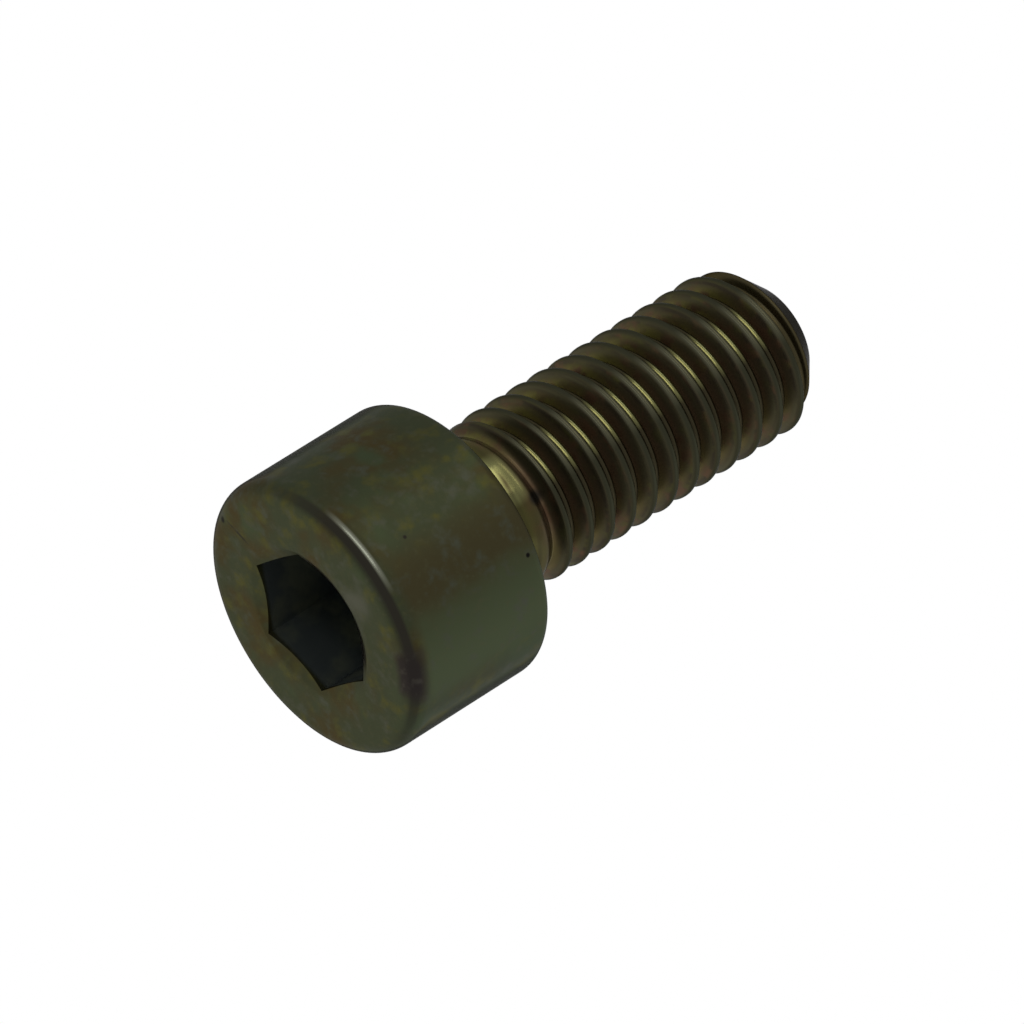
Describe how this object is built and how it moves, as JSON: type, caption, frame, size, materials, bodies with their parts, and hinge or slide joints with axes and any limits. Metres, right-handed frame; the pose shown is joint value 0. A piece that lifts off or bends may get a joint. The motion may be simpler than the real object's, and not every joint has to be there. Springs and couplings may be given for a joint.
{
  "type": "hex socket cap screw",
  "caption": "Machine screw with a smooth round head, a hexagon socket and a coarse right-hand thread that runs up to a short neck under the head.",
  "frame": {"origin": "centre of the flat front face of the head, on which the screw stands", "axes": "+Z along the screw's axis from the head to the tip; +X through a corner of the hexagon socket"},
  "size_m": [0.013, 0.013, 0.0272],
  "materials": {
    "steel": "steel, zinc plated and yellow-olive passivated, dull on the head and shinier on the thread"
  },
  "bodies": {
    "root": {"cap_screw": "steel"}
  },
  "joints": []
}
